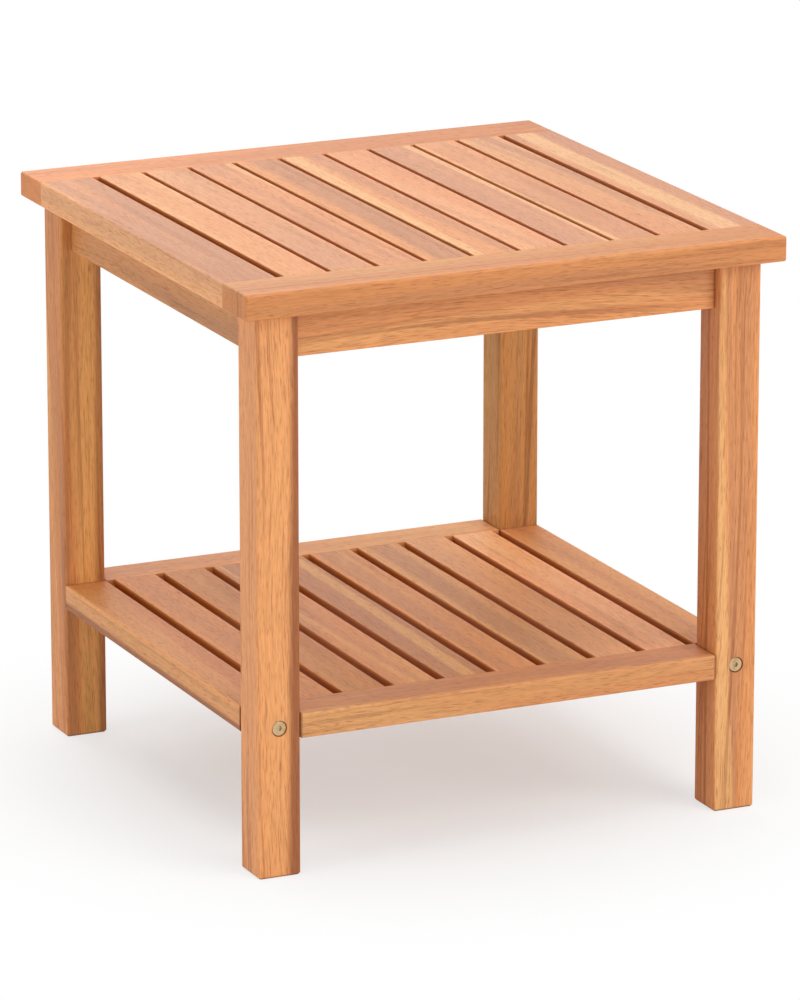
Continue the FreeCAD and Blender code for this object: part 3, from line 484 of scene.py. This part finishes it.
BOTH = (-1, 1)
# The top slats' tints are each board's tone and, in their extra blue, painted sheen on the top.
TOP_SLATS = (
    Board("top_side_slat_left", "YXZ", (0.99, 0.98, 1.04), (
        Streak("honey", -1.05, -0.95, 0.12, 0.25, 0.4, 0.1),
        Streak("mauve", 0.1, -0.25, 0.15, 0.2, 0.6),
        Streak("mauve", 0.9, 0.8, 0.35, 0.4, 0.75),
    ), slots=(1,)),
    Board("top_slat_1", "YXZ", (1.04, 1.04, 1.12), (Streak("honey", -0.9, -0.4, 0.3, 0.3, 0.2),),
          slope=0.04, figure=1.2, slots=BOTH),
    Board("top_slat_2", "YXZ", (0.97, 1.01, 1.22), slots=BOTH),
    Board("top_slat_3", "YXZ", (1.00, 0.99, 1.12), (
        Streak("mauve", 0.45, -0.05, 0.2, 0.3, 0.35),
        Streak("honey", 2.4, 1.05, 0.2, 0.3, 0.8),
    ), figure=1.2, slots=BOTH),
    Board("top_slat_4", "YXZ", (0.99, 0.97, 0.98), (
        Streak("mauve", 0.4, 0.55, 0.6, 0.8, 0.85),
        Streak("umber", 0.9, 0.8, 0.1, 0.15, 0.2),
    ), slots=BOTH),
    Board("top_slat_5", "YXZ", (1.01, 1.00, 1.10), (
        Streak("mauve", 1.0, 0.6, 0.3, 0.35, 0.6),
        Streak("honey", -0.55, -0.35, 0.26, 0.42, 0.9),
    ), slots=BOTH),
    Board("top_slat_6", "YXZ", (1.05, 1.04, 1.27), (
        Streak("mauve", 0.4, -1.9, 0.25, 0.3, 0.35),
    ), bands=0.45, slots=BOTH),
    Board("top_slat_7", "YXZ", (1.10, 1.13, 1.32), (
        Streak("mauve", -0.35, -0.4, 0.55, 0.5, 0.9),
        Streak("mauve", 0.8, 0.6, 0.2, 0.15, 0.4),
        Streak("honey", 1.2, 1.0, 0.12, 0.25, 0.6),
    ), slots=BOTH),
    Board("top_slat_8", "YXZ", (1.16, 1.20, 1.36), (
        Streak("honey", -0.7, -0.8, 0.25, 0.1, 0.7),
        Streak("mauve", 1.0, 0.5, 0.2, 0.3, 0.25),
    ), slots=BOTH),
    Board("top_slat_9", "YXZ", (0.96, 0.97, 1.18), (
        Streak("mauve", 2.1, 0.35, 0.3, 0.32, 0.8),
        Streak("mauve", 1.6, -0.3, 0.2, 0.2, 0.4),
    ), slots=BOTH),
    Board("top_side_slat_right", "YXZ", (1.01, 1.05, 1.30), (
        Streak("mauve", 0.95, 0.95, 0.45, 0.55, 0.65),
        Streak("honey", 0.1, -0.1, 0.45, 0.42, 0.85),
    ), slots=(-1,)),
)

SHELF_RAILS = (
    Board("shelf_rail_front", "XYZ", (0.88, 0.84, 0.81), (
        Streak("honey", -1.0, -2.6, 0.8, 0.3, 0.5),
        Streak("honey", -0.8, -0.7, 0.3, 0.3, 0.3),
        Streak("mauve", 1.2, -0.4, 0.3, 0.3, 0.35),
    ), slope=0.02, figure=1.4, bands=0.15, butted=True),
    Board("shelf_rail_back", "XYZ", (1.03, 1.03, 1.00), (Streak("mauve", 0.3, 0.1, 0.3, 0.3, 0.2),),
          butted=True),
)

SHELF_SLATS = (
    Board("shelf_side_slat_left", "YXZ", (0.90, 0.80, 0.67), (
        Streak("honey", -0.6, -0.3, 0.7, 1.3, 0.55),
        Streak("mauve", 0.6, 1.6, 0.35, 0.2, 0.3),
        Streak("umber", -2.9, -2.8, 0.9, 1.2, 0.75, 2.0),
    ), slots=(1,), butted=True),
    Board("shelf_slat_1", "YXZ", (0.95, 0.89, 0.70), (Streak("mauve", 0.4, 0.2, 0.3, 0.3, 0.3),),
          slots=BOTH),
    Board("shelf_slat_2", "YXZ", (0.85, 0.80, 0.55), (Streak("honey", -0.3, 0.4, 0.4, 0.3, 0.2),),
          slots=BOTH),
    Board("shelf_slat_3", "YXZ", (1.00, 0.97, 0.81), (
        Streak("honey", 0.1, -0.5, 0.2, 0.1, 0.5),
        Streak("mauve", 0.5, -0.1, 0.2, 0.3, 0.35),
    ), slots=BOTH),
    Board("shelf_slat_4", "YXZ", (0.95, 0.92, 0.80), (
        Streak("mauve", 0.0, -0.5, 0.3, 0.4, 0.3),
        Streak("honey", 0.4, 0.75, 0.35, 0.25, 0.9),
    ), slots=BOTH),
    Board("shelf_slat_5", "YXZ", (1.00, 0.98, 0.86), (Streak("mauve", -0.2, 0.1, 0.4, 0.5, 0.5),),
          slots=BOTH),
    Board("shelf_slat_6", "YXZ", (0.97, 0.98, 0.90), (Streak("mauve", 0.1, 0.2, 0.7, 0.6, 0.7),),
          slots=BOTH),
    Board("shelf_slat_7", "YXZ", (1.15, 1.28, 1.32), bands=0.4, slots=BOTH),
    Board("shelf_slat_8", "YXZ", (1.30, 1.42, 1.68), (Streak("honey", 0.5, 0.2, 0.3, 0.3, 0.2),),
          bands=0.3, slots=BOTH),
    Board("shelf_side_slat_right", "YXZ", (0.98, 0.97, 0.90), (
        Streak("mauve", 0.3, 0.1, 0.2, 0.3, 0.4),
    ), slots=(-1,), butted=True),
)

INNER_TINT = (0.9, 0.88, 0.86)
INNER_BOARDS = tuple(Board(node, axes, INNER_TINT) for node, axes in (
    ("top_batten", "XYZ"),
    ("shelf_batten_front", "XYZ"),
    ("shelf_batten_back", "XYZ"),
    ("corner_block_front_left", "ZXY"),
    ("corner_block_front_right", "ZXY"),
    ("corner_block_back_left", "ZXY"),
    ("corner_block_back_right", "ZXY"),
))

BRASS_FITTINGS = ("shelf_bolts", "shelf_barrel_nuts")
STEEL_FITTINGS = ("hanger_bolts", "hanger_washers", "hanger_nuts", "corner_block_screws",
                  "top_screws", "top_batten_screws", "shelf_batten_screws")


# ---------------------------------------------------------------- floor, lamps and camera

FLOOR_GRAIN_PITCH = (9.0, 9.0, 9.0)
FLOOR_GRAIN_CONTRAST = 0.02
FLOOR_ROUGHNESS = 0.85
FLOOR_GLOSS = 0.2
LAMP_AIM = Vector((0.0, 0.0, 0.25))
CAMERA_AIM = (0.0019, -0.0039)  # metres from the table's middle
CAMERA_REACH = 50.0  # metres to the furthest thing that shows
SENSOR_WIDTH = 36.0  # millimetres


class Lamp(NamedTuple):
    """Square lamp: its place, the length of its sides and the stage setting with its power."""
    name: str
    place: tuple
    size: float
    power: str


LAMPS = (
    Lamp("key_lamp", (1.6, -2.6, 1.8), 2.4, "key_power"),
    Lamp("top_lamp", (0.0, 0.0, 3.0), 2.6, "top_power"),
    Lamp("back_lamp", (0.0, 2.6, 2.2), 2.4, "back_power"),
    Lamp("left_lamp", (-3.0, -0.4, 0.8), 1.5, "left_power"),
)


def seen_directly(shader):
    """1 where the eye, a reflection or clear glass looks, and 0 for soft light."""
    rays = shader.add("ShaderNodeLightPath", {}, {},
                      ("Is Camera Ray", "Is Glossy Ray", "Is Transmission Ray"))
    first = shader.math("MAXIMUM", rays[0], rays[1])
    return shader.math("MAXIMUM", first, rays[2])


def lay_floor(stage):
    """Pale floor that keeps the table's shadow and turns white further out."""
    reach = stage.floor_size / 2
    mesh = bpy.data.meshes.new("floor")
    corners = [(-reach, -reach, 0), (reach, -reach, 0), (reach, reach, 0), (-reach, reach, 0)]
    mesh.from_pydata(corners, [], [(0, 1, 2, 3)])
    floor = bpy.data.objects.new("floor", mesh)
    bpy.context.scene.collection.objects.link(floor)

    shader = Shader(bpy.data.materials.new("pale_floor"))
    radius = shader.vector_math("LENGTH", shader.place(), (0.0, 0.0, 0.0), "Value")
    grain = shader.noise_over(FLOOR_GRAIN_PITCH, detail=2.0)
    near = shader.add("ShaderNodeBsdfPrincipled", {}, {
        "Base Color": shader.dim(opaque(stage.floor), vary(grain, FLOOR_GRAIN_CONTRAST)),
        "Roughness": FLOOR_ROUGHNESS,
        "Specular IOR Level": FLOOR_GLOSS,
    })
    white = shader.add("ShaderNodeEmission", {}, {"Color": WHITE, "Strength": 1.0})
    fade = shader.fade(radius, stage.white_start, stage.white_end) * (1.0 - stage.white_share) \
        + stage.white_share
    whitened = fade * seen_directly(shader)
    mesh.materials.append(shader.surface(
        shader.add("ShaderNodeMixShader", {}, {0: whitened, 1: near, 2: white})))


def light_room(scene, stage):
    """White room with a soft sky and large lamps in front, overhead, behind and to the left."""
    scene.world = bpy.data.worlds.new("white_room")
    shader = Shader(scene.world)
    strength = seen_directly(shader) * (1.0 - stage.sky) + stage.sky
    shader.surface(shader.add("ShaderNodeBackground", {}, {"Color": WHITE, "Strength": strength}))
    for lamp in LAMPS:
        hang_lamp(scene, lamp, getattr(stage, lamp.power))


def hang_lamp(scene, lamp, power):
    """Hang a square lamp that points at the middle of the table."""
    light = bpy.data.lights.new(lamp.name, "AREA")
    light.shape = "SQUARE"
    light.size = lamp.size
    light.energy = power
    holder = bpy.data.objects.new(lamp.name, light)
    holder.location = lamp.place
    holder.rotation_euler = (LAMP_AIM - Vector(lamp.place)).to_track_quat("-Z", "Y").to_euler()
    scene.collection.objects.link(holder)


def set_camera(scene, stage):
    """Set up the camera at its distance from its aim, with the horizon level."""
    data = bpy.data.cameras.new("camera")
    data.lens = stage.lens
    data.sensor_width = SENSOR_WIDTH
    data.clip_end = CAMERA_REACH
    camera = bpy.data.objects.new("camera", data)
    back = Vector((math.sin(stage.azimuth) * math.cos(stage.elevation),
                   -math.cos(stage.azimuth) * math.cos(stage.elevation),
                   math.sin(stage.elevation)))
    camera.location = Vector((*CAMERA_AIM, stage.aim_height)) + back * stage.distance
    camera.rotation_euler = (math.pi / 2 - stage.elevation, 0.0, stage.azimuth)
    scene.collection.objects.link(camera)
    scene.camera = camera


# ---------------------------------------------------------------- properties

def colour_property(name, description, default):
    """Setting for a colour, from black to white."""
    return FloatVectorProperty(name=name, description=description, default=default,
                               subtype="COLOR", min=0.0, max=1.0)


def share_property(name, description, default):
    """Setting for a share, from 0 to 1."""
    return FloatProperty(name=name, description=description, default=default,
                         subtype="FACTOR", min=0.0, max=1.0)


def length_property(name, description, default):
    """Setting for a length in metres."""
    return FloatProperty(name=name, description=description, default=default,
                         unit="LENGTH", subtype="DISTANCE", precision=4)


def power_property(name, description, default):
    """Setting for a lamp's power in watts."""
    return FloatProperty(name=name, description=description, default=default,
                         unit="POWER", min=0.0)


def angle_property(name, description, degrees):
    """Setting for an angle, whose default is given in degrees."""
    return FloatProperty(name=name, description=description, default=math.radians(degrees),
                         subtype="ANGLE")


class SideTableWood(bpy.types.PropertyGroup):
    """Oiled acacia"""
    heart: colour_property("Heartwood", "Main colour of the boards", (0.75, 0.314, 0.114))
    honey: colour_property("Sapwood", "Pale yellow streaks", (0.84, 0.45, 0.175))
    mauve: colour_property("Dark heartwood", "Grey-brown streaks", (0.56, 0.245, 0.112))
    umber: colour_property("Pores", "Dark rings and pores", (0.24, 0.065, 0.016))
    grain_wander: length_property("Grain wander", "How far the grain drifts sideways", 0.026)
    streak_wander: length_property("Streak wander", "How far the streaks drift sideways", 0.008)
    ring_spacing: length_property("Ring spacing", "Distance between growth rings", 0.0045)
    ring_contrast: share_property("Ring contrast", "How dark the growth rings are", 0.22)
    line_contrast: share_property("Line contrast", "How dark the fine lines of the grain are", 0.25)
    fibre_contrast: share_property("Fibre contrast", "How strongly the fibres show", 0.34)
    pore_depth: share_property("Pore depth", "How dark the open pores are", 0.36)
    end_grain_darkening: share_property("End grain", "How much darker the end grain is", 0.1)
    # Painted shade on the slots' walls: its colour, how much of the walls it covers and how much
    # darker it gets further down.
    slot_shade_colour: colour_property("Slot stain", "Old oil on the slots' walls", (0.50, 0.13, 0.012))
    slot_shade_cover: share_property("Slot walls", "How far the stain covers the walls", 0.86)
    slot_shade: share_property("Slot depth", "How much darker the walls are further down", 0.12)
    # Painted shade at the ends of butted boards.
    joint_shade: share_property("Joints", "How dark the ends of butted boards are", 0.6)
    # Painted highlight along the boards' long edges.
    arris_highlight: share_property("Edge wear", "How much lighter the worn edges are", 0.08)
    roughness: share_property("Roughness", "Roughness of the oiled surface", 0.5)


class SideTableFittings(bpy.types.PropertyGroup):
    """Bolts, screws and dowels"""
    brass: colour_property("Brass plate", "Shelf bolts and barrel nuts", (0.62, 0.44, 0.25))
    brass_tarnish: colour_property("Brass tarnish", "Dull patches", (0.36, 0.25, 0.12))
    steel: colour_property("Zinc plate", "Screws, washers and nuts", (0.62, 0.62, 0.60))
    steel_tarnish: colour_property("Zinc tarnish", "Dull patches", (0.40, 0.40, 0.38))
    beech: colour_property("Beech", "Locating dowels", (0.62, 0.42, 0.24))


class SideTableStage(bpy.types.PropertyGroup):
    """Floor, lamps and camera"""
    floor: colour_property("Floor", "Colour of the floor near the table", (0.912, 0.925, 0.925))
    floor_size: length_property("Floor size", "Width of the square floor", 14.0)
    white_start: length_property("White from", "Radius at which the floor starts to whiten", 0.10)
    white_end: length_property("White at", "Radius from which the floor is pure white", 0.46)
    white_share: share_property("White share", "Share of pure white under the table", 0.43)
    sky: FloatProperty(name="Sky", description="Strength of the soft light from all around",
                       default=0.36, min=0.0)
    key_power: power_property("Key lamp", "Large lamp in front, to the right", 61.0)
    top_power: power_property("Top lamp", "Large lamp overhead", 31.0)
    back_power: power_property("Back lamp", "Lamp behind, which gives the top its sheen", 30.0)
    left_power: power_property("Left lamp", "Weak lamp that lifts the left faces", 27.0)
    azimuth: angle_property("Azimuth", "Camera's turn round the table", -24.79)
    elevation: angle_property("Elevation", "Camera's height angle", 15.873)
    distance: length_property("Distance", "From the camera to its aim", 5.1325)
    aim_height: length_property("Aim height", "Height at which the camera looks", 0.2204)
    lens: FloatProperty(name="Lens", description="Focal length on a 36 mm sensor, in millimetres",
                        default=234.5, min=1.0)


# ---------------------------------------------------------------- operators

class SIDETABLE_OT_legs(bpy.types.Operator):
    """Finish the four legs"""
    bl_idname = "side_table.legs"
    bl_label = "Legs"

    def execute(self, context):
        finish_boards(LEGS, context.scene.side_table_wood)
        return {"FINISHED"}


class SIDETABLE_OT_aprons(bpy.types.Operator):
    """Finish the four aprons"""
    bl_idname = "side_table.aprons"
    bl_label = "Aprons"

    def execute(self, context):
        finish_boards(APRONS, context.scene.side_table_wood)
        return {"FINISHED"}


class SIDETABLE_OT_top(bpy.types.Operator):
    """Finish the end rails and slats of the top"""
    bl_idname = "side_table.top"
    bl_label = "Top"

    def execute(self, context):
        finish_boards(TOP_RAILS + TOP_SLATS, context.scene.side_table_wood)
        return {"FINISHED"}


class SIDETABLE_OT_shelf(bpy.types.Operator):
    """Finish the end rails and slats of the shelf"""
    bl_idname = "side_table.shelf"
    bl_label = "Shelf"

    def execute(self, context):
        finish_boards(SHELF_RAILS + SHELF_SLATS, context.scene.side_table_wood)
        return {"FINISHED"}


class SIDETABLE_OT_inner_boards(bpy.types.Operator):
    """Finish the battens and corner blocks"""
    bl_idname = "side_table.inner_boards"
    bl_label = "Battens and corner blocks"

    def execute(self, context):
        finish_boards(INNER_BOARDS, context.scene.side_table_wood)
        return {"FINISHED"}


class SIDETABLE_OT_fittings(bpy.types.Operator):
    """Finish the bolts, nuts, washers, screws and dowels"""
    bl_idname = "side_table.fittings"
    bl_label = "Fittings"

    def execute(self, context):
        fittings = context.scene.side_table_fittings
        brass = plated("brass_plate", fittings.brass, fittings.brass_tarnish, BRASS_ROUGHNESS)
        steel = plated("zinc_plate", fittings.steel, fittings.steel_tarnish, ZINC_ROUGHNESS)
        for node in BRASS_FITTINGS:
            paint(node, brass)
        for node in STEEL_FITTINGS:
            paint(node, steel)
        paint("shelf_dowels", dowel_wood(fittings.beech))
        return {"FINISHED"}


class SIDETABLE_OT_stage(bpy.types.Operator):
    """Lay the floor, hang the lamps and set up the camera"""
    bl_idname = "side_table.stage"
    bl_label = "Floor, lamps and camera"

    def execute(self, context):
        stage = context.scene.side_table_stage
        lay_floor(stage)
        light_room(context.scene, stage)
        set_camera(context.scene, stage)
        context.scene.view_settings.view_transform = "Standard"
        return {"FINISHED"}


OPERATORS = (SIDETABLE_OT_legs, SIDETABLE_OT_aprons, SIDETABLE_OT_top, SIDETABLE_OT_shelf,
             SIDETABLE_OT_inner_boards, SIDETABLE_OT_fittings, SIDETABLE_OT_stage)


class SIDETABLE_PT_panel(bpy.types.Panel):
    """Builds the table's finish step by step"""
    bl_idname = "SIDETABLE_PT_panel"
    bl_label = "Side Table"
    bl_space_type = "VIEW_3D"
    bl_region_type = "UI"
    bl_category = "Side Table"

    def draw(self, context):
        for operator in OPERATORS:
            self.layout.operator(operator.bl_idname)
        for group in ("side_table_wood", "side_table_fittings", "side_table_stage"):
            settings = getattr(context.scene, group)
            box = self.layout.box()
            box.label(text=settings.bl_rna.description)
            for name in settings.__annotations__:
                box.prop(settings, name)


CLASSES = (SideTableWood, SideTableFittings, SideTableStage, *OPERATORS, SIDETABLE_PT_panel)


def register():
    for item in CLASSES:
        bpy.utils.register_class(item)
    bpy.types.Scene.side_table_wood = PointerProperty(type=SideTableWood)
    bpy.types.Scene.side_table_fittings = PointerProperty(type=SideTableFittings)
    bpy.types.Scene.side_table_stage = PointerProperty(type=SideTableStage)


def unregister():
    del bpy.types.Scene.side_table_stage
    del bpy.types.Scene.side_table_fittings
    del bpy.types.Scene.side_table_wood
    for item in reversed(CLASSES):
        bpy.utils.unregister_class(item)


def main():
    register()
    for name in ("legs", "aprons", "top", "shelf", "inner_boards", "fittings", "stage"):
        getattr(bpy.ops.side_table, name)()


if __name__ == "__main__":
    main()
